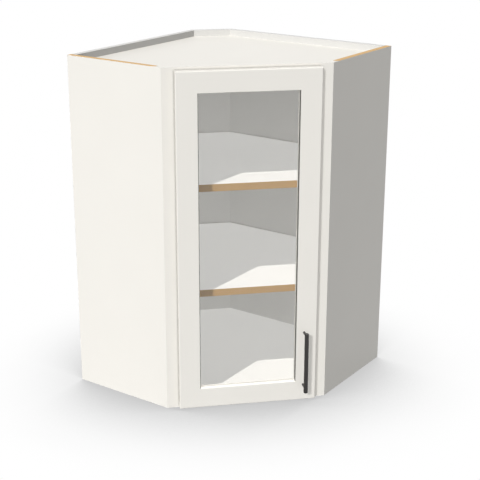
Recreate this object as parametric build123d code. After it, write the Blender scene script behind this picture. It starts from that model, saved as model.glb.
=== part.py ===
from build123d import *
from math import sqrt
import os

# Diagonal corner wall cabinet with a framed glass door. Millimetres, +Z up, the front faces -Y.
# While the pieces are made, y = 0 is the front of the face frame and x = 0 its middle. At the end
# everything is shifted along Y, so that the origin is under the middle of the whole object.

# Carcass
wall_length = 609.6          # along each wall, from the room's corner
side_depth = 304.8           # each side panel, square to its wall
cabinet_height = 914.4
panel_thickness = 15.9       # sides, backs, top and floor
corner_cut = 60.0            # room corner to the outside of the narrow corner panel
groove_depth = 6.0           # top and floor panels sit this far into the walls
top_recess = 17.4            # top panel's upper face below the upper edges
floor_height = 38.1          # floor panel's upper face above the lower edges
mitre_land = 6.0             # part of a side's front edge that meets the frame; the rest is cut square

# Face frame
frame_thickness = 19.05
opening_width = 304.8        # clear opening between the stiles
top_rail_width = 38.1
tenon_thickness = 6.35
tenon_length = 12.0
tenon_shoulder = 6.35        # rail's edge to the tenon

# Door
door_overlay = 31.75         # door's side edges beyond the opening
door_bottom = 4.6            # door's lower edge above the cabinet's lower edge
door_top_reveal = 7.1        # door's upper edge below the cabinet's upper edge
door_thickness = 19.05
door_gap = 3.0               # back of the door to the face frame
member_width = 55.0
outer_round = 2.4            # front outer edge of the door
inner_round = 1.0            # front edge beside the glass
back_round = 1.0             # back outer edge of the door

# Glass and what holds it
rebate_width = 9.5
glass_thickness = 3.2
glass_clearance = 1.5        # pane's edge to the side of the rebate
bead_thickness = 3.3         # bead's front face, on the glass, to the back of the door
bead_reveal = 2.3            # bead shows this far inside the door's inner edge
bead_bevel = 1.2             # back inner edge of a bead
gasket_thickness = 1.2
gasket_setback = 0.2         # gasket's front edge behind the rounding

# Shelves
shelf_thickness = 19.05
shelf_clearance = 2.0        # shelf's edge to the walls
shelf_setback = 1.5          # shelf's front edge to the back of the face frame
seat_gap = 0.2               # under a shelf at its supports, and in front of a bumper
lower_shelf_top = 324.0
pitch = 31.75                # between shelf support holes
shelf_steps = 9              # hole pitches between the two shelves
spare_holes = 1              # empty holes above and below each one in use
hole_diameter = 5.1
hole_depth = 10.0
front_row = 40.0             # front hole row, from the face frame along the side
rear_row = 45.0              # rear hole row, from the side's back end
wall_row = 200.0             # hole row on each back, from its outer end

# Shelf support: a peg on a small angle bracket
peg_diameter = 5.0
peg_length = 9.0
support_width = 12.0
support_reach = 10.0         # tongue under the shelf, from the wall
support_thickness = 1.6
support_rise = 5.0           # tongue's upper face above the peg's centre
support_drop = 6.0           # plate's lower edge below the peg's centre

# Screws through the backs into the edges of the top and floor
screw_diameter = 4.0
screw_length = 40.0
screw_head = 8.0
screw_clearance = 0.05
screw_edge = 70.0            # end screws from the ends of a back

# Pull: a straight bar on two posts
pull_length = 172.0
pull_diameter = 11.4
pull_end_bevel = 1.6
pull_hole_spacing = 152.4
pull_projection = 32.0       # door's face to the bar's centre line
pull_from_edge = 34.4        # centre line to the door's free edge
pull_above_mitre = 10.1      # lower post above the mitre of the stile and the rail
post_diameter = 6.4
pull_screw_diameter = 4.0
pull_screw_head = 8.5
pull_screw_head_height = 2.0
pull_screw_grip = 8.0        # length inside the post

# Bumpers
bumper_diameter = 9.0
bumper_inset = 14.0          # from the door's free edge and from its ends

# Concealed hinges
hinge_inset = 100.0          # hinge's middle to the end of the door
cup_tab = 3.0                # wood between the cup's bore and the door's edge
cup_diameter = 35.0
cup_depth = 13.4
cup_wall = 0.8
cup_clearance = 0.05
flange_thickness = 1.0
flange_rim = 0.5             # flange beyond the cup's rim
wing_width = 12.0
wing_height = 57.0
wing_round = 5.5
wing_offset = 6.0            # screw line to the cup's middle
wing_screw_spacing = 45.0
nose_half = 4.5              # half the height of the arm's nose
eye_radius = 2.4
eye_clearance = 0.4
pivot_pin_diameter = 2.5
pivot_clearance = 0.05
pin_end_clearance = 0.2      # pin's ends to the side of the bore
press_clearance = 0.01       # pin in the cup's ears, and screws in its wings
cup_floor_clearance = 1.0    # eye to the bottom of the cup
ear_width = 6.0
arm_thickness = 2.0
neck_drop = 1.3              # neck runs this much deeper than the pivot
neck_run = 16.0
neck_bend = 3.0
plate_height = 46.0
plate_round = 4.0
plate_setback = 0.8          # plate's ends to the faces of the frame
plate_screw_spacing = 32.0
hinge_screw_diameter = 3.5
hinge_screw_head = 6.8
hinge_screw_head_height = 1.8
hinge_screw_length = 14.0
cup_screw_length = 12.0
cup_screw_head = 6.4

# Small holes, pegs and screws, of which there are many, are prisms with this many sides
small_sides = 10

# Worked out in plan
half_front = (wall_length - side_depth) / sqrt(2)
outer_x = half_front + side_depth / sqrt(2)
outer_y = side_depth / sqrt(2)
wall_sum = outer_x + outer_y                 # x + y on the right-hand wall
corner_y = wall_sum - corner_cut             # outside of the corner panel
opening_half = opening_width / 2
diagonal = 1 / sqrt(2)

# Worked out in height and across the door
top_upper = cabinet_height - top_recess
top_lower = top_upper - panel_thickness
floor_lower = floor_height - panel_thickness
upper_shelf_top = lower_shelf_top + shelf_steps * pitch
door_width = opening_width + 2 * door_overlay
door_height = cabinet_height - door_bottom - door_top_reveal
door_top = door_bottom + door_height
door_middle = door_bottom + door_height / 2
door_half = door_width / 2
door_back = -door_gap
door_front = door_back - door_thickness
sight_half = door_half - member_width        # half the clear width of the glass
sight_height = door_height - 2 * member_width
lip_thickness = door_thickness - bead_thickness - glass_thickness    # wood in front of the glass

# Worked out at the hinge, in plan
cup_x = -door_half + cup_tab + cup_diameter / 2
cup_radius = cup_diameter / 2 - cup_clearance
cup_inner_radius = cup_radius - cup_wall
nose_chord = sqrt(cup_inner_radius ** 2 - nose_half ** 2)
pivot_x = cup_x - nose_chord + eye_radius + eye_clearance
cup_floor_y = door_back - cup_depth + cup_wall
pivot_y = cup_floor_y + cup_floor_clearance + eye_radius
arm_x = -opening_half + arm_thickness / 2
hinge_heights = {"lower": door_bottom + hinge_inset, "upper": door_top - hinge_inset}

# The pull
pull_x = door_half - pull_from_edge
pull_height = door_bottom + pull_from_edge + pull_above_mitre + pull_hole_spacing / 2
pull_y = door_front - pull_projection
pull_front = pull_y - pull_diameter / 2

centred = (Align.CENTER, Align.CENTER, Align.CENTER)
upright = (Align.CENTER, Align.CENTER, Align.MIN)


def slab(points, low, high):
    """A flat panel from its outline in plan, between two heights."""
    return Pos(0, 0, low) * extrude(Polygon(*points), amount=high - low, dir=(0, 0, 1))


def small_rod(start, direction, diameter, length):
    prism = extrude(RegularPolygon(diameter / 2, small_sides), amount=length)
    return Plane(origin=start, z_dir=direction) * prism


def small_cone(start, direction, start_diameter, end_diameter, length):
    plane = Plane(origin=start, z_dir=direction)
    ends = [
        plane * RegularPolygon(start_diameter / 2, small_sides),
        plane.offset(length) * RegularPolygon(end_diameter / 2, small_sides),
    ]
    return loft(ends, ruled=True)


def mirrored(piece):
    return mirror(piece, about=Plane.YZ)


def both_hands(pieces):
    return pieces + [mirrored(piece) for piece in pieces]


def footprint(inset, front):
    """The cabinet's outline in plan, moved in from the outer faces, starting at y = front."""
    slant = inset * sqrt(2)
    back = corner_y - inset
    right = [
        (half_front + front - slant, front),
        (outer_x - slant, outer_y),
        (wall_sum - slant - back, back),
    ]
    left = [(-x, y) for x, y in reversed(right)]
    return right + left


def on_side(along):
    """A point on the right side panel's inner face, measured from the face frame."""
    start = half_front + frame_thickness - panel_thickness * sqrt(2)
    return (start + along * diagonal, frame_thickness + along * diagonal)


def on_back(along):
    """A point on the right back's inner face, measured from the side panel."""
    start = outer_x - panel_thickness * sqrt(2)
    return (start - along * diagonal, outer_y + along * diagonal)


# Shelf supports: where they stand on the right half, and which way is into the wall
side_run = (outer_y - frame_thickness) * sqrt(2)
hole_rows = [
    (on_side(front_row), (diagonal, -diagonal, 0)),
    (on_side(side_run - rear_row), (diagonal, -diagonal, 0)),
    (on_back(wall_row), (diagonal, diagonal, 0)),
]


def peg_height(shelf_top):
    """Centre of the support pegs that carry a shelf."""
    return shelf_top - shelf_thickness - seat_gap - support_rise


def hole_heights():
    """Each shelf has a group of holes: the ones in use, and spare ones above and below."""
    steps = range(-spare_holes, spare_holes + 1)
    return [peg_height(top) + step * pitch for top in (lower_shelf_top, upper_shelf_top) for step in steps]


def row_holes(row):
    (x, y), direction = hole_rows[row]
    return [small_rod((x, y, height), direction, hole_diameter, hole_depth) for height in hole_heights()]


# Screws: a shank with a countersunk head whose top is flush with the face at the starting point
def countersunk_screw(start, direction, length, diameter, head, extra=0.0):
    taper = (head - diameter) / 2
    shank = small_rod(start, direction, diameter + 2 * extra, length + extra)
    return shank + small_cone(start, direction, head + 2 * extra, diameter + 2 * extra, taper)


def pan_head_screw(start, direction, length, diameter, head, head_height, extra=0.0):
    """The head stands on the face at the starting point; the shank goes in."""
    shank = small_rod(start, direction, diameter + 2 * extra, length + extra)
    outwards = tuple(-part for part in direction)
    return shank + small_rod(start, outwards, head, head_height)


def back_screws(extra=0.0):
    """Screws through the backs and the corner panel into the edges of the floor and the top."""
    run = sqrt(2) * (corner_y - outer_y)
    screws = []
    for height in (floor_height - panel_thickness / 2, top_upper - panel_thickness / 2):
        sizes = (screw_length, screw_diameter, screw_head, extra)
        for along in (screw_edge + panel_thickness, run - screw_edge):
            start = (outer_x - along * diagonal, outer_y + along * diagonal, height)
            screws += both_hands([countersunk_screw(start, (-diagonal, -diagonal, 0), *sizes)])
        screws.append(countersunk_screw((0, corner_y, height), (0, -1, 0), *sizes))
    return screws


# Carcass panels
def level_panel(low, high):
    inset = panel_thickness - groove_depth
    return slab(footprint(inset, frame_thickness), low, high) - back_screws(screw_clearance)


def grooves():
    """Room for the top and floor panels in the walls."""
    outline = footprint(panel_thickness - groove_depth, frame_thickness)
    return [slab(outline, floor_lower, floor_height), slab(outline, top_lower, top_upper)]


def right_side_panel():
    """Only the outer part of its front edge is mitred to the frame; the inner part is cut square."""
    inner_end = panel_thickness * diagonal
    square_end = (panel_thickness - mitre_land) * diagonal
    land_x = half_front + frame_thickness - mitre_land * sqrt(2)
    outline = [
        (half_front + frame_thickness, frame_thickness),
        (outer_x, outer_y),
        (outer_x - inner_end, outer_y + inner_end),
        (land_x - square_end, frame_thickness + square_end),
        (land_x, frame_thickness),
    ]
    return slab(outline, 0, cabinet_height) - grooves() - row_holes(0) - row_holes(1)


def right_back_panel():
    slant = panel_thickness * sqrt(2)
    inner_end = panel_thickness * diagonal
    inner_corner_y = corner_y - panel_thickness
    outline = [
        (outer_x - slant, outer_y),
        (outer_x - inner_end, outer_y + inner_end),
        (corner_cut, corner_y),
        (wall_sum - slant - inner_corner_y, inner_corner_y),
    ]
    return slab(outline, 0, cabinet_height) - grooves() - row_holes(2) - back_screws(screw_clearance)


def corner_back_panel():
    inner_corner_y = corner_y - panel_thickness
    inner_half = wall_sum - panel_thickness * sqrt(2) - inner_corner_y
    outline = [
        (inner_half, inner_corner_y),
        (corner_cut, corner_y),
        (-corner_cut, corner_y),
        (-inner_half, inner_corner_y),
    ]
    return slab(outline, 0, cabinet_height) - grooves() - back_screws(screw_clearance)


# Face frame: full-height stiles mitred to the sides, and rails with stub tenons
def frame_rail(low, high):
    rail = Box(opening_width, frame_thickness, high - low)
    tenon = Box(opening_width + 2 * tenon_length, tenon_thickness, high - low - 2 * tenon_shoulder)
    return Pos(0, frame_thickness / 2, (low + high) / 2) * (rail + tenon)


def frame_rails():
    return {
        "frame_bottom_rail": frame_rail(0, floor_height),
        "frame_top_rail": frame_rail(cabinet_height - top_rail_width, cabinet_height),
    }


def frame_right_stile():
    outline = [
        (opening_half, 0),
        (half_front, 0),
        (half_front + frame_thickness, frame_thickness),
        (opening_half, frame_thickness),
    ]
    return slab(outline, 0, cabinet_height) - list(frame_rails().values())


def frame_left_stile():
    return mirrored(frame_right_stile()) - arm_screws(screw_clearance)


# Shelves and what they stand on
def shelf(top):
    inset = panel_thickness + shelf_clearance
    outline = footprint(inset, frame_thickness + shelf_setback)
    return slab(outline, top - shelf_thickness, top)


def shelf_support(point, direction, height):
    """An angle bracket: a plate on the wall with a peg, and a tongue under the shelf."""
    along = (-direction[1], direction[0], 0)
    plane = Plane(origin=(point[0], point[1], height), x_dir=along, z_dir=direction)
    outline = Polygon(
        (0, support_rise),
        (-support_reach, support_rise),
        (-support_reach, support_rise - support_thickness),
        (-support_thickness, support_rise - support_thickness),
        (-support_thickness, -support_drop),
        (0, -support_drop),
    )
    section = Plane(origin=(0, 0, 0), x_dir=(0, 0, 1), z_dir=(-1, 0, 0))
    angle = extrude(section * outline, amount=support_width / 2, both=True)
    peg = small_rod((0, 0, 0), (0, 0, 1), peg_diameter, peg_length)
    return plane * (angle + peg)


def shelf_supports(shelf_top):
    height = peg_height(shelf_top)
    pieces = [shelf_support(point, direction, height) for point, direction in hole_rows]
    return Compound(children=both_hands(pieces))


# Door members: one profile, run the length of the member and mitred at both ends
def mitred(profile, length, width):
    body = extrude(profile, amount=length / 2, both=True)
    end = length / 2
    wedge = Polygon((0, end), (width, end - width), (width, length), (0, length))
    cutter = extrude(Plane.XZ * wedge, amount=4 * door_thickness, both=True)
    return body - cutter - mirror(cutter, about=Plane.XY)


def rounded_corner(outline, x, y, radius):
    corner = outline.vertices().sort_by_distance((x, y, 0))[0]
    return fillet(corner, radius)


def door_profile():
    """Member in section: x from the outer edge inwards, y from the front face backwards."""
    rebate_x = member_width - rebate_width
    outline = Polygon(
        (0, 0),
        (member_width, 0),
        (member_width, lip_thickness),
        (rebate_x, lip_thickness),
        (rebate_x, door_thickness),
        (0, door_thickness),
    )
    outline = rounded_corner(outline, 0, 0, outer_round)
    outline = rounded_corner(outline, member_width, 0, inner_round)
    return rounded_corner(outline, 0, door_thickness, back_round)


def bead_profile():
    """Glazing bead in section, from the side of the rebate inwards."""
    width = rebate_width + bead_reveal
    return Polygon(
        (0, 0),
        (width, 0),
        (width, bead_thickness - bead_bevel),
        (width - bead_bevel, bead_thickness),
        (0, bead_thickness),
    )


def member_planes(inset, depth):
    """Where the four members start: outer edge moved in by inset, front at depth."""
    front = door_front + depth
    return {
        "left": Plane((-door_half + inset, front, door_middle), (1, 0, 0), (0, 0, 1)),
        "right": Plane((door_half - inset, front, door_middle), (-1, 0, 0), (0, 0, -1)),
        "top": Plane((0, front, door_top - inset), (0, 0, -1), (1, 0, 0)),
        "bottom": Plane((0, front, door_bottom + inset), (0, 0, 1), (-1, 0, 0)),
    }


def door_frame():
    tall = mitred(door_profile(), door_height, member_width)
    wide = mitred(door_profile(), door_width, member_width)
    places = member_planes(0, 0)
    return {
        "door_left_stile": places["left"] * tall - cup_bores() - cup_screws(screw_clearance),
        "door_right_stile": places["right"] * tall - pull_screws(screw_clearance),
        "door_top_rail": places["top"] * wide,
        "door_bottom_rail": places["bottom"] * wide,
    }


def glazing_beads():
    width = rebate_width + bead_reveal
    inset = member_width - rebate_width
    tall = mitred(bead_profile(), door_height - 2 * inset, width)
    wide = mitred(bead_profile(), door_width - 2 * inset, width)
    lengths = {"left": tall, "right": tall, "top": wide, "bottom": wide}
    places = member_planes(inset, lip_thickness + glass_thickness)
    return {"glazing_bead_" + name: places[name] * lengths[name] for name in places}


def glass_pane():
    grow = 2 * (rebate_width - glass_clearance)
    pane = Box(2 * sight_half + grow, glass_thickness, sight_height + grow)
    return Pos(0, door_front + lip_thickness + glass_thickness / 2, door_middle) * pane


def glass_gaskets():
    """Thin strips that line the inner edges of the stiles in front of the glass."""
    depth = lip_thickness - inner_round - gasket_setback
    strip = Box(gasket_thickness, depth, sight_height)
    x = sight_half - gasket_thickness / 2
    strip = Pos(x, door_front + lip_thickness - depth / 2, door_middle) * strip
    return Compound(children=both_hands([strip]))


def door_bumpers():
    """Soft buttons on the back of the door, just short of the face frame."""
    x = door_half - bumper_inset
    heights = (door_bottom + bumper_inset, door_top - bumper_inset)
    length = door_gap - seat_gap
    buttons = [small_rod((x, door_back, z), (0, 1, 0), bumper_diameter, length) for z in heights]
    return Compound(children=buttons)


# Pull
def post_places():
    half = pull_hole_spacing / 2
    return [(pull_x, door_front, pull_height - half), (pull_x, door_front, pull_height + half)]


def post(place):
    """A straight post from the door to the bar's centre line."""
    return Plane(origin=place, z_dir=(0, -1, 0)) * Cylinder(post_diameter / 2, pull_projection, align=upright)


def pull_posts():
    return Compound(children=[post(place) - pull_screws(screw_clearance) for place in post_places()])


def pull_bar():
    bar = Cylinder(pull_diameter / 2, pull_length, align=centred)
    bar = chamfer(bar.edges().filter_by(GeomType.CIRCLE), pull_end_bevel)
    return Pos(pull_x, pull_y, pull_height) * bar - [post(place) for place in post_places()]


def pull_screws(extra=0.0):
    """Screws from the back of the door into the posts."""
    length = door_thickness + pull_screw_grip
    sizes = (length, pull_screw_diameter, pull_screw_head, pull_screw_head_height, extra)
    return [pan_head_screw((x, door_back, z), (0, -1, 0), *sizes) for x, _, z in post_places()]


# Hinges
def at_hinges(pieces):
    """The same pieces at the height of each hinge."""
    return [Pos(0, 0, height) * piece for height in hinge_heights.values() for piece in pieces]


def cup_bores():
    plane = Plane(origin=(cup_x, door_back, 0), z_dir=(0, -1, 0))
    return at_hinges([plane * Cylinder(cup_diameter / 2, cup_depth, align=upright)])


def upright_rod(radius, half_length):
    """A rod along the hinge's pivot axis."""
    return Pos(pivot_x, pivot_y, 0) * Cylinder(radius, 2 * half_length, align=centred)


def pivot_pin_half():
    """Half the pin's length, so that its ends stay inside the bore."""
    reach = cup_x - pivot_x + pivot_pin_diameter / 2
    return sqrt(cup_radius ** 2 - reach ** 2) - pin_end_clearance


def wing_screws(extra=0.0):
    """Countersunk screws through the wings of the flange."""
    screws = []
    for side in (-1, 1):
        start = (cup_x + wing_offset, door_back + flange_thickness, side * wing_screw_spacing / 2)
        sizes = (cup_screw_length, hinge_screw_diameter, cup_screw_head, extra)
        screws.append(countersunk_screw(start, (0, -1, 0), *sizes))
    return screws


def cup_screws(extra=0.0):
    return at_hinges(wing_screws(extra))


def cup_flange():
    plane = Plane(origin=(cup_x, door_back, 0), x_dir=(1, 0, 0), z_dir=(0, 1, 0))
    wings = Pos(wing_offset, 0) * RectangleRounded(wing_width, wing_height, wing_round)
    outline = Circle(cup_diameter / 2 + flange_rim) + wings
    return extrude(plane * outline, amount=flange_thickness)


def cup_ears(cup_body):
    """Two blocks inside the cup, above and below the arm's nose, that hold the ends of the pin."""
    low = cup_floor_y - cup_wall / 2
    high = pivot_y + ear_width / 2
    ear = Box(ear_width, high - low, cup_diameter, align=upright)
    ear = Pos(pivot_x, (low + high) / 2, nose_half + eye_clearance) * ear
    return (ear + mirror(ear, about=Plane.XY)) & cup_body


def hinge_cup():
    """A pressed cup with a flange on the back of the door and two ears for the pivot pin."""
    inwards = (0, -1, 0)
    body = Plane(origin=(cup_x, door_back, 0), z_dir=inwards) * Cylinder(
        cup_radius, cup_depth - cup_clearance, align=upright
    )
    hollow = Plane(origin=(cup_x, door_back + flange_thickness, 0), z_dir=inwards) * Cylinder(
        cup_inner_radius, cup_depth - cup_wall + flange_thickness, align=upright
    )
    pin_room = upright_rod(pivot_pin_diameter / 2 + press_clearance, pivot_pin_half() + press_clearance)
    return body + cup_flange() - hollow + cup_ears(body) - pin_room - wing_screws(press_clearance)


def plate_screws(extra=0.0):
    """Pan-head screws through the plate into the edge of the frame's stile."""
    screws = []
    for side in (-1, 1):
        start = (-opening_half + arm_thickness, frame_thickness / 2, side * plate_screw_spacing / 2)
        sizes = (hinge_screw_length, hinge_screw_diameter, hinge_screw_head, hinge_screw_head_height, extra)
        screws.append(pan_head_screw(start, (-1, 0, 0), *sizes))
    return screws


def arm_screws(extra=0.0):
    return at_hinges(plate_screws(extra))


def arm_neck(plate_back):
    """The cranked strip from the pivot out of the cup and along the edge of the frame."""
    neck_y = pivot_y - neck_drop
    slope = arm_x - pivot_x - neck_run
    path = FilletPolyline(
        (pivot_x, pivot_y),
        (pivot_x + neck_run / 2, neck_y),
        (pivot_x + neck_run, neck_y),
        (arm_x, neck_y + slope),
        (arm_x, plate_back),
        radius=neck_bend,
    )
    return extrude(trace(path, arm_thickness), amount=nose_half, both=True)


def hinge_arm():
    """A cranked arm: an eye on the pivot pin, a neck out of the cup and a plate on the frame."""
    plate_back = frame_thickness - plate_setback
    plate_plane = Plane(origin=(-opening_half, frame_thickness / 2, 0), x_dir=(0, 1, 0), z_dir=(1, 0, 0))
    plate_outline = RectangleRounded(frame_thickness - 2 * plate_setback, plate_height, plate_round)
    plate = extrude(plate_plane * plate_outline, amount=arm_thickness)
    eye = upright_rod(eye_radius, nose_half)
    pin_room = upright_rod(pivot_pin_diameter / 2 + pivot_clearance, 2 * nose_half)
    return arm_neck(plate_back) + eye + plate - pin_room - plate_screws(screw_clearance)


def hinge_nodes():
    pieces = {
        "cup": hinge_cup(),
        "arm": hinge_arm(),
        "pin": upright_rod(pivot_pin_diameter / 2, pivot_pin_half()),
    }
    nodes = {
        name + "_hinge_" + kind: Pos(0, 0, height) * piece
        for name, height in hinge_heights.items()
        for kind, piece in pieces.items()
    }
    nodes["hinge_cup_screws"] = Compound(children=cup_screws())
    nodes["hinge_arm_screws"] = Compound(children=arm_screws())
    return nodes


def carcass_nodes():
    return {
        "left_side_panel": mirrored(right_side_panel()),
        "right_side_panel": right_side_panel(),
        "left_back_panel": mirrored(right_back_panel()),
        "right_back_panel": right_back_panel(),
        "corner_back_panel": corner_back_panel(),
        "top_panel": level_panel(top_lower, top_upper),
        "bottom_panel": level_panel(floor_lower, floor_height),
        "back_screws": Compound(children=back_screws()),
        "frame_left_stile": frame_left_stile(),
        "frame_right_stile": frame_right_stile(),
    } | frame_rails()


def shelf_nodes():
    return {
        "upper_shelf": shelf(upper_shelf_top),
        "lower_shelf": shelf(lower_shelf_top),
        "upper_shelf_supports": shelf_supports(upper_shelf_top),
        "lower_shelf_supports": shelf_supports(lower_shelf_top),
    }


def door_nodes():
    trim = {
        "glass_pane": glass_pane(),
        "glass_gaskets": glass_gaskets(),
        "door_bumpers": door_bumpers(),
        "pull_bar": pull_bar(),
        "pull_posts": pull_posts(),
        "pull_screws": Compound(children=pull_screws()),
    }
    return door_frame() | glazing_beads() | trim


os.makedirs("parts", exist_ok=True)
to_origin = Pos(0, -(pull_front + corner_y) / 2, 0)
for node, shape in (carcass_nodes() | shelf_nodes() | door_nodes() | hinge_nodes()).items():
    export_step(to_origin * shape, "parts/" + node + ".step")
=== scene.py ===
import math
import bpy
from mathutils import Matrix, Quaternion, Vector


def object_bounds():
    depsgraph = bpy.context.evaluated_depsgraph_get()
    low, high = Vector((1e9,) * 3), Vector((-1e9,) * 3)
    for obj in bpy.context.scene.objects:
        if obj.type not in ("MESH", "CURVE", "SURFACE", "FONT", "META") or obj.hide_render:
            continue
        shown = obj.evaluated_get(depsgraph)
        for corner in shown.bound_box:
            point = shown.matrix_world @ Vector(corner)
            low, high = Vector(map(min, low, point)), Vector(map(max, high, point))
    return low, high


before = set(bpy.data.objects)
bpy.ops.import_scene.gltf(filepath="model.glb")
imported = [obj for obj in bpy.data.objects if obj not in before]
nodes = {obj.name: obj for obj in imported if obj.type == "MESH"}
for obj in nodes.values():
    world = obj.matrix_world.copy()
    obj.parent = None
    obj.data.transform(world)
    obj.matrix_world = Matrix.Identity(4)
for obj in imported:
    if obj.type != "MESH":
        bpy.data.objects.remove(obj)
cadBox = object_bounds()
cadBottom, cadTop = cadBox[0].z, cadBox[1].z
millimetre = 0.001                                  # the scene is in metres
print("frame loaded:", len(nodes), "pieces")


def toLinear(hexColour):
    # sRGB hex such as "#F1EDE6" to the linear colour that shaders want
    channels = [int(hexColour[i:i + 2], 16) / 255 for i in (1, 3, 5)]
    linear = [c / 12.92 if c <= 0.04045 else ((c + 0.055) / 1.055) ** 2.4 for c in channels]
    return (*linear, 1.0)


def addNode(tree, kind, settings=None, links=None):
    # settings are the node's own; links fill its sockets, by name or by number, with values or outputs
    node = tree.nodes.new(kind)
    for name, value in (settings or {}).items():
        setattr(node, name, value)
    for socket, value in (links or {}).items():
        if isinstance(value, bpy.types.NodeSocket):
            tree.links.new(value, node.inputs[socket])
        else:
            node.inputs[socket].default_value = value
    return node


def pattern(tree, size, detail=2.0, turn=0.0, roughness=0.5):
    # soft noise whose features have this size in millimetres along x, y and z, after a turn about z
    place = addNode(tree, "ShaderNodeTexCoord")
    turned = addNode(tree, "ShaderNodeMapping", links={
        "Vector": place.outputs["Object"], "Rotation": (0, 0, turn)})
    scaled = addNode(tree, "ShaderNodeMapping", links={
        "Vector": turned.outputs["Vector"], "Scale": tuple(1 / (s * millimetre) for s in size)})
    noise = addNode(tree, "ShaderNodeTexNoise", links={
        "Vector": scaled.outputs["Vector"], "Scale": 1.0, "Detail": detail, "Roughness": roughness})
    return noise.outputs["Fac"]


def paintedShadeInGaps(tree, reach, full):
    # mask for painted shade: 0 in the open, rising to 1 in a gap, where the openness has fallen to full.
    # It fades out close to the floor, because the room under a standing object is no gap.
    fadeFrom, fadeTo = cadBottom + reach / 3, cadBottom + reach * 1.1
    near = addNode(tree, "ShaderNodeAmbientOcclusion", {"samples": 8}, {"Distance": reach})
    closed = addNode(tree, "ShaderNodeMapRange", links={
        "Value": near.outputs["AO"], "From Min": 1.0, "From Max": full, "To Min": 0.0, "To Max": 1.0})
    place = addNode(tree, "ShaderNodeTexCoord")
    height = addNode(tree, "ShaderNodeSeparateXYZ", links={"Vector": place.outputs["Object"]})
    aboveFloor = addNode(tree, "ShaderNodeMapRange", links={
        "Value": height.outputs["Z"], "From Min": fadeFrom, "From Max": fadeTo})
    return addNode(tree, "ShaderNodeMath", {"operation": "MULTIPLY"}, {
        0: closed.outputs["Result"], 1: aboveFloor.outputs["Result"]}).outputs[0]


def toneAndPaintedShade(tree, setup, paintedShadeReach):
    # two near tones in large soft patches, neither ever pure, and where a reach is given a darker colour
    # painted into gaps as shade. A colour mix has its colours in sockets 6 and 7 and its result in output 2.
    patches = addNode(tree, "ShaderNodeMapRange", links={
        "Value": pattern(tree, (setup["patch"],) * 3), "To Min": 0.1, "To Max": 0.9})
    colour = addNode(tree, "ShaderNodeMix", {"data_type": "RGBA"}, {
        0: patches.outputs["Result"], 6: toLinear(setup["light"]), 7: toLinear(setup["dark"])}).outputs[2]
    if paintedShadeReach:
        colour = addNode(tree, "ShaderNodeMix", {"data_type": "RGBA"}, {
            0: paintedShadeInGaps(tree, paintedShadeReach * millimetre, setup["gapFull"]),
            6: colour, 7: toLinear(setup["gap"])}).outputs[2]
    return colour


def newMaterial(name):
    material = bpy.data.materials.new(name)
    material.use_nodes = True
    material.node_tree.nodes.clear()
    return material, material.node_tree


def addShader(tree, setup, colour, spread, bump=None, more=None):
    # the setup gives the IOR, if any, and the range of roughness, which follows the spread pattern
    rough = addNode(tree, "ShaderNodeMapRange", links={
        "Value": spread, "To Min": setup["roughness"][0], "To Max": setup["roughness"][1]})
    links = {"Base Color": colour, "Roughness": rough.outputs["Result"], **(more or {})}
    if "ior" in setup:
        links["IOR"] = setup["ior"]
    if bump:
        links["Normal"] = bump.outputs["Normal"]
    shader = addNode(tree, "ShaderNodeBsdfPrincipled", links=links)
    addNode(tree, "ShaderNodeOutputMaterial", links={"Surface": shader.outputs["BSDF"]})


lacquer = {
    "light": "#ECE9E2", "dark": "#E8E5DE",
    # the gap colour is painted shade, mixed in where the surroundings close in
    "gap": "#7D7A75", "gapFull": 0.1,                   # gapFull is the openness at which it is all gap
    "roughness": (0.40, 0.48), "ior": 1.5,
    "patch": 140, "peel": 1.6, "grain": (2.2, 70),      # mm; the grain's are across and along the wood
    "peelStrength": 0.4, "peelDepth": 0.03,             # depths in mm
    "grainStrength": 0.25, "grainDepth": 0.04,
}


def sprayedLacquerOnMaple(name, upright=True, paintedShadeReach=0):
    # maple under sprayed off-white satin lacquer: an even, soft sheen with faint orange peel,
    # a trace of the closed grain below it and slow changes in tone
    material, tree = newMaterial(name)
    across, along = lacquer["grain"]
    grain = pattern(tree, (across, across, along) if upright else (along, across, across), detail=3.0)
    peel = pattern(tree, (lacquer["peel"],) * 3, detail=1.0)
    # with a reach, painted shade darkens the colour in gaps
    colour = toneAndPaintedShade(tree, lacquer, paintedShadeReach)
    wood = addNode(tree, "ShaderNodeBump", links={
        "Strength": lacquer["grainStrength"], "Distance": lacquer["grainDepth"] * millimetre,
        "Height": grain})
    skin = addNode(tree, "ShaderNodeBump", links={
        "Strength": lacquer["peelStrength"], "Distance": lacquer["peelDepth"] * millimetre, "Height": peel,
        "Normal": wood.outputs["Normal"]})
    addShader(tree, lacquer, colour, grain, skin)
    return material


melamine = {
    "light": "#EBEAE7", "dark": "#E8E7E4",
    # the gap colour is painted shade, mixed in where the surroundings close in
    "gap": "#BEBDBB", "gapFull": 0.9,
    "roughness": (0.42, 0.52), "ior": 1.5,
    "patch": 180, "pearl": 1.2,                         # mm
    "pearlStrength": 0.4, "pearlDepth": 0.03,
}


def pressedMelamine(name, paintedShadeReach=0):
    # melamine paper pressed on particleboard: neutral white, flat, with a fine pearl texture
    # from the press plate, drawn coarser than the real 0.3 mm so that it shows at all
    material, tree = newMaterial(name)
    pearl = pattern(tree, (melamine["pearl"],) * 3)
    # with a reach, painted shade darkens the colour in gaps
    colour = toneAndPaintedShade(tree, melamine, paintedShadeReach)
    skin = addNode(tree, "ShaderNodeBump", links={
        "Strength": melamine["pearlStrength"], "Distance": melamine["pearlDepth"] * millimetre,
        "Height": pearl})
    addShader(tree, melamine, colour, pearl, skin)
    return material


birch = {
    "pale": "#D9B47B", "deep": "#C79D65", "roughness": (0.55, 0.7), "ior": 1.5,
    "grain": (1.4, 55), "figure": (9, 180),             # mm across and along the strip
    "lineShare": 0.6, "figureShare": 0.4,               # how much each adds to the deep colour
    "lineStrength": 0.5, "lineDepth": 0.08,
}


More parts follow.
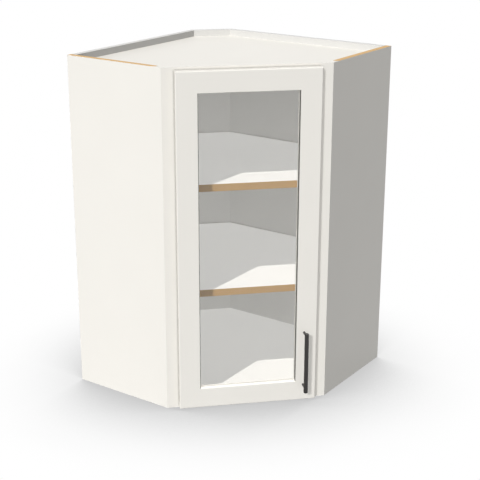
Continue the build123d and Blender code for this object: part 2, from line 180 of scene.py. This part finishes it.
def sandedBirchEdge(name, turn=0.0):
    # birch edge strip, sanded and left raw: light brown, dull, with fine lines along its length
    material, tree = newMaterial(name)
    across, along = birch["grain"]
    wide, far = birch["figure"]
    lines = pattern(tree, (along, across, across), detail=4.0, turn=turn, roughness=0.65)
    figure = addNode(tree, "ShaderNodeMapRange", links={
        "Value": pattern(tree, (far, wide, wide), turn=turn), "To Min": 0.0, "To Max": birch["figureShare"]})
    streaks = addNode(tree, "ShaderNodeMath", {"operation": "MULTIPLY_ADD"}, {
        0: lines, 1: birch["lineShare"], 2: figure.outputs["Result"]})
    colour = addNode(tree, "ShaderNodeMix", {"data_type": "RGBA"}, {
        0: streaks.outputs[0], 6: toLinear(birch["pale"]), 7: toLinear(birch["deep"])}).outputs[2]
    fibres = addNode(tree, "ShaderNodeBump", links={
        "Strength": birch["lineStrength"], "Distance": birch["lineDepth"] * millimetre, "Height": lines})
    addShader(tree, birch, colour, lines, fibres)
    return material


glass = {
    "tint": "#FBFBFB", "ior": 1.52,
    "wave": 160, "waveStrength": 0.3, "waveDepth": 0.02,    # mm, and depth in mm
}


def floatGlass(name):
    # clear float glass: smooth and almost colourless, with the slow waviness that only
    # reflections show. Lamps and soft light pass straight through the thin pane.
    material, tree = newMaterial(name)
    wave = addNode(tree, "ShaderNodeBump", links={
        "Strength": glass["waveStrength"], "Distance": glass["waveDepth"] * millimetre,
        "Height": pattern(tree, (glass["wave"],) * 3, detail=1.0)})
    pane = addNode(tree, "ShaderNodeBsdfPrincipled", links={
        "Base Color": toLinear(glass["tint"]), "IOR": glass["ior"], "Roughness": 0.0,
        "Transmission Weight": 1.0, "Normal": wave.outputs["Normal"]})
    path = addNode(tree, "ShaderNodeLightPath")
    passes = addNode(tree, "ShaderNodeMath", {"operation": "MAXIMUM"}, {
        0: path.outputs["Is Shadow Ray"], 1: path.outputs["Is Diffuse Ray"]})
    clear = addNode(tree, "ShaderNodeBsdfTransparent", links={"Color": toLinear(glass["tint"])})
    both = addNode(tree, "ShaderNodeMixShader", links={
        0: passes.outputs[0], 1: pane.outputs["BSDF"], 2: clear.outputs["BSDF"]})
    addNode(tree, "ShaderNodeOutputMaterial", links={"Surface": both.outputs["Shader"]})
    return material


gasket = {
    "colour": "#575652", "dust": "#686762", "roughness": (0.6, 0.8),
    "bloom": (1.5, 1.5, 12),                            # mm along x, y and z
}


def extrudedEpdm(name):
    # extruded EPDM rubber: dark grey, dull, with a slightly dusty bloom
    material, tree = newMaterial(name)
    bloom = pattern(tree, gasket["bloom"], detail=3.0)
    colour = addNode(tree, "ShaderNodeMix", {"data_type": "RGBA"}, {
        0: bloom, 6: toLinear(gasket["colour"]), 7: toLinear(gasket["dust"])}).outputs[2]
    addShader(tree, gasket, colour, bloom)
    return material


pullCoat = {
    "colour": "#1D1B1A", "rub": "#2A2725", "roughness": (0.28, 0.38),
    "grit": 0.9, "gritStrength": 0.5, "gritDepth": 0.05,    # mm
    "handled": (30, 30, 60), "handledFac": (-0.2, 0.9),     # mm; patches that hands have rubbed paler
}


def powderCoatedZinc(name):
    # die-cast zinc alloy under baked black powder coat: satin, with the fine texture of the powder
    material, tree = newMaterial(name)
    grit = pattern(tree, (pullCoat["grit"],) * 3)
    low, high = pullCoat["handledFac"]
    rubbed = addNode(tree, "ShaderNodeMapRange", links={
        "Value": pattern(tree, pullCoat["handled"]), "To Min": low, "To Max": high})
    colour = addNode(tree, "ShaderNodeMix", {"data_type": "RGBA"}, {
        0: rubbed.outputs["Result"],
        6: toLinear(pullCoat["colour"]), 7: toLinear(pullCoat["rub"])}).outputs[2]
    powder = addNode(tree, "ShaderNodeBump", links={
        "Strength": pullCoat["gritStrength"], "Distance": pullCoat["gritDepth"] * millimetre, "Height": grit})
    addShader(tree, pullCoat, colour, grit, powder)
    return material


nickel = {
    "colour": "#C8C4BB", "shade": "#B4B0A8", "roughness": (0.22, 0.38),
    "roll": (1.0, 1.0, 18), "rollStrength": 0.3, "rollDepth": 0.02,     # mm
}


def nickelPlatedSteel(name):
    # pressed steel strip with bright nickel plating: rolling lines left in the strip blur the shine
    material, tree = newMaterial(name)
    lines = pattern(tree, nickel["roll"], detail=3.0)
    colour = addNode(tree, "ShaderNodeMix", {"data_type": "RGBA"}, {
        0: lines, 6: toLinear(nickel["colour"]), 7: toLinear(nickel["shade"])}).outputs[2]
    rolled = addNode(tree, "ShaderNodeBump", links={
        "Strength": nickel["rollStrength"], "Distance": nickel["rollDepth"] * millimetre, "Height": lines})
    addShader(tree, nickel, colour, lines, rolled, {"Metallic": 1.0})
    return material


bumper = {
    "colour": "#E6E6E1", "haze": "#D8D8D2", "roughness": (0.25, 0.4), "ior": 1.49,
    "through": 0.6, "cloud": 3,                         # share of light let through, and mm
}


def castPolyurethane(name):
    # soft cast polyurethane button: milky, a little see-through, smooth skin
    material, tree = newMaterial(name)
    haze = pattern(tree, (bumper["cloud"],) * 3)
    colour = addNode(tree, "ShaderNodeMix", {"data_type": "RGBA"}, {
        0: haze, 6: toLinear(bumper["colour"]), 7: toLinear(bumper["haze"])}).outputs[2]
    addShader(tree, bumper, colour, haze, more={"Transmission Weight": bumper["through"]})
    return material


finishAndPaintedShadeSetup = {
    # all in mm
    # how far the painted shade reaches out of each kind of gap
    "frameGap": 6, "doorGap": 24, "rimGap": 60,         # how far the shade reaches out of a gap
    "cutEnd": 1.0,                                      # a panel's sawn edges lie this near the ends
    "rim": 25.0,                                        # the low rim above the top panel
    "doorEdge": 2.0,                                    # the door's outer edges lie this near its sides
}
facing = 0.9                                            # a face looks along a direction from this cosine up
up = Vector((0, 0, 1))
eighth = math.pi / 4                                    # of a turn, between the front and the sides

lacquerUpright = sprayedLacquerOnMaple("lacquered_maple_upright")
lacquerLevel = sprayedLacquerOnMaple("lacquered_maple_level", upright=False)
# copies of the lacquer with painted shade in their gaps, for the frame and the door's outer edges
frameUpright = sprayedLacquerOnMaple("lacquered_frame_upright_painted_shade", paintedShadeReach=finishAndPaintedShadeSetup["frameGap"])
frameLevel = sprayedLacquerOnMaple("lacquered_frame_level_painted_shade", upright=False, paintedShadeReach=finishAndPaintedShadeSetup["frameGap"])
doorEdge = sprayedLacquerOnMaple("lacquered_door_edge_painted_shade", paintedShadeReach=finishAndPaintedShadeSetup["doorGap"])
board = pressedMelamine("melamine_faced_board")
# the melamine with painted shade, for the left back's rim
rim = pressedMelamine("melamine_faced_rim_painted_shade", paintedShadeReach=finishAndPaintedShadeSetup["rimGap"])
birchAcross = sandedBirchEdge("birch_edge")
birchLeft = sandedBirchEdge("birch_edge_left", eighth)
birchRight = sandedBirchEdge("birch_edge_right", -eighth)
clearGlass = floatGlass("float_glass")
rubber = extrudedEpdm("epdm_rubber")
black = powderCoatedZinc("black_powder_coat")
steel = nickelPlatedSteel("nickel_plated_steel")
soft = castPolyurethane("polyurethane")
print("materials made:", len(bpy.data.materials))


def paint(node, materials, choose=None):
    # choose(normal, centre) gives the number of the material for one face
    mesh = nodes[node].data
    mesh.materials.clear()
    for material in materials:
        mesh.materials.append(material)
    for face in mesh.polygons:
        face.material_index = int(choose(face.normal, face.center)) if choose else 0


# corner 0 of a bounding box has the lowest x and corner 6 the highest
doorSides = [nodes["door_left_stile"].bound_box[0][0], nodes["door_right_stile"].bound_box[6][0]]


def isDoorEdge(normal, centre):
    # the door's outer side faces, which stand close in front of the frame and get painted shade
    atSide = min(abs(centre.x - side) for side in doorSides) < finishAndPaintedShadeSetup["doorEdge"] * millimetre
    return abs(normal.x) > facing and atSide


def isCutEnd(normal, centre):
    # the sawn edges at the very top and bottom of a panel
    atEnd = min(centre.z - cadBottom, cadTop - centre.z) < finishAndPaintedShadeSetup["cutEnd"] * millimetre
    return abs(normal.z) > facing and atEnd


def paintFrameAndDoor():
    # the frame gets painted shade in its gaps, and the door stiles on their outer edges
    for side in ("left", "right"):
        paint("frame_" + side + "_stile", [frameUpright])
        paint("door_" + side + "_stile", [lacquerUpright, doorEdge], isDoorEdge)
        paint("glazing_bead_" + side, [lacquerUpright])
    for side in ("top", "bottom"):
        paint("frame_" + side + "_rail", [frameLevel])
        paint("door_" + side + "_rail", [lacquerLevel])
        paint("glazing_bead_" + side, [lacquerLevel])


def paintBoards():
    for name, side, edge in (("left_side_panel", -1, birchLeft), ("right_side_panel", 1, birchRight)):
        outward = Vector((side, -1, 0)).normalized()
        paint(name, [board, lacquerUpright, edge],
              lambda n, c, out=outward: 2 if isCutEnd(n, c) else n.dot(out) > facing)
    # above the top panel the left back stands up as a low rim, on which a darker colour is painted as shade
    paint("left_back_panel", [board, rim], lambda n, c: cadTop - c.z < finishAndPaintedShadeSetup["rim"] * millimetre)
    for name in ("right_back_panel", "corner_back_panel", "bottom_panel"):
        paint(name, [board])
    paint("top_panel", [board, lacquerLevel], lambda n, c: n.dot(up) > facing)
    for name in ("upper_shelf", "lower_shelf"):
        paint(name, [board, birchAcross], lambda n, c: abs(n.dot(up)) < facing)


def paintFittings():
    paint("glass_pane", [clearGlass])
    paint("glass_gaskets", [rubber])
    paint("door_bumpers", [soft])
    for name in ("pull_bar", "pull_posts"):
        paint(name, [black])
    hinges = [level + "_hinge_" + part for level in ("upper", "lower") for part in ("cup", "arm", "pin")]
    screws = ["hinge_cup_screws", "hinge_arm_screws", "back_screws", "pull_screws"]
    for name in (*hinges, *screws, "upper_shelf_supports", "lower_shelf_supports"):
        paint(name, [steel])


paintFrameAndDoor()
paintBoards()
paintFittings()
print("finishes given")


floorSetup = {
    "size": 60.0, "drop": 0.0002,                       # m
    "bounce": "#A0A1A3",                                # what the floor sends back on the object
    "shadowReach": 0.42, "shadowDeep": 0.575,           # m, and how bright the floor is in its deepest shade
    "shadowFac": (0.42, 1.0),                           # openness at the deepest shade and at none
}


def seenDirectly(tree):
    # 1 for rays from the camera, or that came by a reflection or through glass
    path = addNode(tree, "ShaderNodeLightPath")
    total = path.outputs["Is Camera Ray"]
    for name in ("Is Glossy Ray", "Is Transmission Ray"):
        larger = addNode(tree, "ShaderNodeMath", {"operation": "MAXIMUM"}, {0: total, 1: path.outputs[name]})
        total = larger.outputs[0]
    return total


def makeFloor():
    # white where it is seen, with a painted shadow close to the object, and pale grey for the light it
    # returns
    half = floorSetup["size"] / 2
    mesh = bpy.data.meshes.new("studio_floor")
    corners = [(x * half, y * half, -floorSetup["drop"]) for x, y in ((-1, -1), (1, -1), (1, 1), (-1, 1))]
    mesh.from_pydata(corners, [], [(0, 1, 2, 3)])
    material, tree = newMaterial("studio_floor")
    # the shadow is painted from the openness around each point, not cast by the lamps
    near = addNode(tree, "ShaderNodeAmbientOcclusion", {"samples": 16},
                   {"Distance": floorSetup["shadowReach"]})
    low, high = floorSetup["shadowFac"]
    shade = addNode(tree, "ShaderNodeMapRange", {"interpolation_type": "SMOOTHSTEP"}, {
        "Value": near.outputs["AO"], "From Min": low, "From Max": high,
        "To Min": floorSetup["shadowDeep"], "To Max": 1.0})
    seen = addNode(tree, "ShaderNodeEmission", links={"Strength": shade.outputs["Result"]})
    returned = addNode(tree, "ShaderNodeBsdfDiffuse", links={"Color": toLinear(floorSetup["bounce"])})
    both = addNode(tree, "ShaderNodeMixShader", links={
        0: seenDirectly(tree), 1: returned.outputs["BSDF"], 2: seen.outputs["Emission"]})
    addNode(tree, "ShaderNodeOutputMaterial", links={"Surface": both.outputs["Shader"]})
    mesh.materials.append(material)
    floor = bpy.data.objects.new("studio_floor", mesh)
    bpy.context.scene.collection.objects.link(floor)


lightSetup = {
    "fill": 0.30,                                       # even light from all round
    # run is where a sun's light travels in plan, height the degrees that it comes down by,
    # and width its apparent size in degrees
    "key": {"strength": 1.95, "inside": 2.6, "width": 0.6, "run": (0.704, 0.710), "height": 51.4},
    "front": {"strength": 1.47, "width": 6.0, "run": (0.48, 0.877), "height": 30.0},
    "shelves": {"strength": 1.30, "width": 10.0, "run": (0.0, 1.0), "height": 90.0},
    "backs": {"power": 6.8, "width": 1.5, "place": (0.3, -3.0, 0.7), "aim": (0.0, 0.0, 0.45)},  # W and m
    "warm": (1.0, 0.967, 0.915), "cool": (0.975, 0.985, 1.0),
}
insidePieces = ["upper_shelf", "lower_shelf", "bottom_panel", "upper_shelf_supports", "lower_shelf_supports"]
ledgePieces = ["door_bottom_rail", "glazing_bead_bottom"]
backPieces = [name for name in nodes if name.endswith("back_panel")]
doorPieces = [name for name in nodes if name.startswith(("door_", "glazing_", "glass_", "pull_"))]
hiddenPiece = "upper_hinge_pin"                         # too small and deep to shade anything that shows


def addLamp(name, kind, settings):
    light = bpy.data.lights.new(name, kind)
    for key, value in settings.items():
        setattr(light, key, value)
    lamp = bpy.data.objects.new(name, light)
    bpy.context.scene.collection.objects.link(lamp)
    return lamp


def addSun(name, setup):
    lamp = addLamp(name, "SUN", {"energy": setup["strength"], "angle": math.radians(setup["width"])})
    height = math.radians(setup["height"])
    runX, runY = setup["run"]
    travel = Vector((runX * math.cos(height), runY * math.cos(height), -math.sin(height)))
    lamp.rotation_mode = "QUATERNION"
    lamp.rotation_quaternion = travel.to_track_quat("-Z", "Y")
    return lamp


def linkedPieces(name, pieces, state):
    # a collection that a lamp reads: only these pieces, or all others
    group = bpy.data.collections.new(name)
    for piece in pieces:
        group.objects.link(nodes[piece])
    for entry in group.collection_objects:
        entry.light_linking.link_state = state
    return group


def makeLamps():
    # the hard key makes the bright patches on the shelves, and is split in two so that the door
    # shades what is behind the glass but draws no hard band on the face frame
    key = lightSetup["key"]
    outside = addSun("key_outside", key)
    outside.light_linking.receiver_collection = linkedPieces("not_inside", insidePieces, "EXCLUDE")
    outside.light_linking.blocker_collection = linkedPieces("not_door", doorPieces, "EXCLUDE")
    inside = addSun("key_inside", {**key, "strength": key["inside"]})
    inside.data.color = lightSetup["warm"]
    inside.light_linking.receiver_collection = linkedPieces("inside", insidePieces, "INCLUDE")
    front = addSun("front_softbox", lightSetup["front"])
    front.light_linking.receiver_collection = linkedPieces("faces", insidePieces + backPieces, "EXCLUDE")
    # two even lamps that nothing blocks stand for the light that a bright room sends in, and the one
    # from above also whitens the ledge under the glass
    down = addSun("fill_shelves", lightSetup["shelves"])
    backs = lightSetup["backs"]
    inwards = addLamp("fill_backs", "AREA", {"energy": backs["power"], "size": backs["width"]})
    inwards.location = backs["place"]
    travel = Vector(backs["aim"]) - inwards.location
    inwards.rotation_euler = travel.to_track_quat("-Z", "Y").to_euler()
    for kind in ("camera", "glossy", "transmission"):
        setattr(inwards, "visible_" + kind, False)
    for lamp, pieces in ((down, insidePieces + ledgePieces), (inwards, backPieces)):
        lamp.data.color = lightSetup["cool"]
        lamp.light_linking.receiver_collection = linkedPieces(lamp.name + "_lights", pieces, "INCLUDE")
        lamp.light_linking.blocker_collection = linkedPieces(lamp.name + "_blocks", [hiddenPiece], "INCLUDE")


def makeWorld():
    world = bpy.data.worlds.new("studio")
    bpy.context.scene.world = world
    world.use_nodes = True
    tree = world.node_tree
    tree.nodes.clear()
    white = (1, 1, 1, 1)
    fill = addNode(tree, "ShaderNodeBackground", links={"Color": white, "Strength": lightSetup["fill"]})
    backdrop = addNode(tree, "ShaderNodeBackground", links={"Color": white, "Strength": 1.0})
    both = addNode(tree, "ShaderNodeMixShader", links={
        0: seenDirectly(tree), 1: fill.outputs["Background"], 2: backdrop.outputs["Background"]})
    addNode(tree, "ShaderNodeOutputWorld", links={"Surface": both.outputs["Shader"]})


cameraSetup = {
    "place": (-0.51275, -2.98812, 1.41789), "target": (0.0347, 0.03659, 0.3579),
    "sensor": 36.0, "lens": 85.47,                      # mm
    "tilt": 0.145,                                      # degrees about the line of sight
}


def makeCamera():
    camera = bpy.data.cameras.new("camera")
    camera.sensor_width = cameraSetup["sensor"]
    camera.lens = cameraSetup["lens"]
    rig = bpy.data.objects.new("camera", camera)
    place, target = Vector(cameraSetup["place"]), Vector(cameraSetup["target"])
    rig.location = place
    rig.rotation_mode = "QUATERNION"
    roll = Quaternion((0, 0, 1), math.radians(cameraSetup["tilt"]))
    rig.rotation_quaternion = (target - place).to_track_quat("-Z", "Y") @ roll
    bpy.context.scene.collection.objects.link(rig)
    bpy.context.scene.camera = rig


makeFloor()
makeWorld()
makeLamps()
makeCamera()
bpy.context.scene.view_settings.view_transform = "Standard"
print("studio set")
